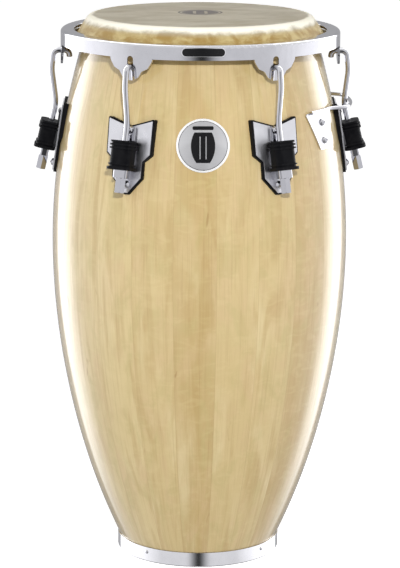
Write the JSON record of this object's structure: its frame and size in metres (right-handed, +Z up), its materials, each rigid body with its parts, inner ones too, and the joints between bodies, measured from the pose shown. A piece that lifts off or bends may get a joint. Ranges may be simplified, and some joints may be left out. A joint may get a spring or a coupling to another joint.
{
  "type": "conga drum",
  "caption": "Staved wooden conga drum with a skin head under a soft steel rim, hook lugs with tuning nuts in rubber boots, a base ring and a side handle.",
  "frame": {"origin": "middle of the base ring's underside, on the floor", "axes": "+Z up through the head; -Y is the front, where the badge is; the side handle is on +X"},
  "size_m": [0.4638, 0.4132, 0.764],
  "materials": {
    "lacquered_maple": "gloss",
    "chrome_steel": "polished",
    "satin_chrome": "satin",
    "plain_steel": "satin",
    "hide": "matte",
    "black_rubber": "satin",
    "black_enamel": "gloss",
    "brushed_metal": "brushed"
  },
  "bodies": {
    "shell": {"shell_staves": "lacquered_maple", "base_ring": "chrome_steel", "base_ring_screws": "chrome_steel", "badge_disc": "brushed_metal", "badge_emblem": "black_enamel", "handle_bar": "chrome_steel", "handle_plate_front": "satin_chrome", "handle_plate_rear": "satin_chrome", "lug_gasket_1": "black_rubber", "lug_plate_1": "satin_chrome", "lug_bracket_1": "chrome_steel", "rubber_boot_1": "black_rubber", "lug_gasket_2": "black_rubber", "lug_plate_2": "satin_chrome", "lug_bracket_2": "chrome_steel", "rubber_boot_2": "black_rubber", "lug_gasket_3": "black_rubber", "lug_plate_3": "satin_chrome", "lug_bracket_3": "chrome_steel", "rubber_boot_3": "black_rubber", "lug_gasket_4": "black_rubber", "lug_plate_4": "satin_chrome", "lug_bracket_4": "chrome_steel", "rubber_boot_4": "black_rubber", "lug_gasket_5": "black_rubber", "lug_plate_5": "satin_chrome", "lug_bracket_5": "chrome_steel", "rubber_boot_5": "black_rubber", "lug_gasket_6": "black_rubber", "lug_plate_6": "satin_chrome", "lug_bracket_6": "chrome_steel", "rubber_boot_6": "black_rubber", "lug_bolts": "chrome_steel", "lug_washers": "plain_steel", "lug_nuts": "plain_steel", "handle_bolts": "chrome_steel", "handle_washers": "plain_steel", "handle_nuts": "plain_steel"},
    "head_assembly": {"rim": "chrome_steel", "rim_nameplate": "chrome_steel", "nameplate_panel": "black_enamel", "head_skin": "hide", "flesh_hoop": "plain_steel"},
    "hook_1": {"tuning_hook_1": "chrome_steel"},
    "nut_1": {"tuning_nut_1": "chrome_steel"},
    "hook_2": {"tuning_hook_2": "chrome_steel"},
    "nut_2": {"tuning_nut_2": "chrome_steel"},
    "hook_3": {"tuning_hook_3": "chrome_steel"},
    "nut_3": {"tuning_nut_3": "chrome_steel"},
    "hook_4": {"tuning_hook_4": "chrome_steel"},
    "nut_4": {"tuning_nut_4": "chrome_steel"},
    "hook_5": {"tuning_hook_5": "chrome_steel"},
    "nut_5": {"tuning_nut_5": "chrome_steel"},
    "hook_6": {"tuning_hook_6": "chrome_steel"},
    "nut_6": {"tuning_nut_6": "chrome_steel"}
  },
  "joints": [
    {"name": "tuning_nut_1_turn", "type": "hinge", "parent": "shell", "child": "nut_1", "pos_m": [-0.10316, -0.17868, 0.617], "axis": [-0.1159, -0.2007, -0.9728], "range_deg": [0, 2961.1]},
    {"name": "tuning_nut_2_turn", "type": "hinge", "parent": "shell", "child": "nut_2", "pos_m": [0.10316, -0.17868, 0.617], "axis": [0.1159, -0.2007, -0.9728], "range_deg": [0, 2961.1]},
    {"name": "tuning_nut_3_turn", "type": "hinge", "parent": "shell", "child": "nut_3", "pos_m": [0.20632, 0, 0.617], "axis": [0.2317, 0, -0.9728], "range_deg": [0, 2961.1]},
    {"name": "tuning_nut_4_turn", "type": "hinge", "parent": "shell", "child": "nut_4", "pos_m": [0.10316, 0.17868, 0.617], "axis": [0.1159, 0.2007, -0.9728], "range_deg": [0, 2961.1]},
    {"name": "tuning_nut_5_turn", "type": "hinge", "parent": "shell", "child": "nut_5", "pos_m": [-0.10316, 0.17868, 0.617], "axis": [-0.1159, 0.2007, -0.9728], "range_deg": [0, 2961.1]},
    {"name": "tuning_nut_6_turn", "type": "hinge", "parent": "shell", "child": "nut_6", "pos_m": [-0.20632, 0, 0.617], "axis": [-0.2317, 0, -0.9728], "range_deg": [0, 2961.1]},
    {"name": "tuning_hook_1_slide", "type": "slide", "parent": "shell", "child": "hook_1", "axis": [0.1159, 0.2007, 0.9728], "range_m": [0, 0.0103]},
    {"name": "tuning_hook_2_slide", "type": "slide", "parent": "shell", "child": "hook_2", "axis": [-0.1159, 0.2007, 0.9728], "range_m": [0, 0.0103]},
    {"name": "tuning_hook_3_slide", "type": "slide", "parent": "shell", "child": "hook_3", "axis": [-0.2317, 0, 0.9728], "range_m": [0, 0.0103]},
    {"name": "tuning_hook_4_slide", "type": "slide", "parent": "shell", "child": "hook_4", "axis": [-0.1159, -0.2007, 0.9728], "range_m": [0, 0.0103]},
    {"name": "tuning_hook_5_slide", "type": "slide", "parent": "shell", "child": "hook_5", "axis": [0.1159, -0.2007, 0.9728], "range_m": [0, 0.0103]},
    {"name": "tuning_hook_6_slide", "type": "slide", "parent": "shell", "child": "hook_6", "axis": [0.2317, 0, 0.9728], "range_m": [0, 0.0103]},
    {"name": "rim_lift", "type": "slide", "parent": "shell", "child": "head_assembly", "axis": [0, 0, 1], "range_m": [0, 0.01]}
  ],
  "couplings": [
    {"joint": "tuning_nut_1_turn", "follows": "rim_lift", "rad_per_m": 5167.2},
    {"joint": "tuning_nut_2_turn", "follows": "rim_lift", "rad_per_m": 5167.2},
    {"joint": "tuning_nut_3_turn", "follows": "rim_lift", "rad_per_m": 5167.2},
    {"joint": "tuning_nut_4_turn", "follows": "rim_lift", "rad_per_m": 5167.2},
    {"joint": "tuning_nut_5_turn", "follows": "rim_lift", "rad_per_m": 5167.2},
    {"joint": "tuning_nut_6_turn", "follows": "rim_lift", "rad_per_m": 5167.2},
    {"joint": "tuning_hook_1_slide", "follows": "rim_lift", "ratio": 1.028},
    {"joint": "tuning_hook_2_slide", "follows": "rim_lift", "ratio": 1.028},
    {"joint": "tuning_hook_3_slide", "follows": "rim_lift", "ratio": 1.028},
    {"joint": "tuning_hook_4_slide", "follows": "rim_lift", "ratio": 1.028},
    {"joint": "tuning_hook_5_slide", "follows": "rim_lift", "ratio": 1.028},
    {"joint": "tuning_hook_6_slide", "follows": "rim_lift", "ratio": 1.028}
  ]
}
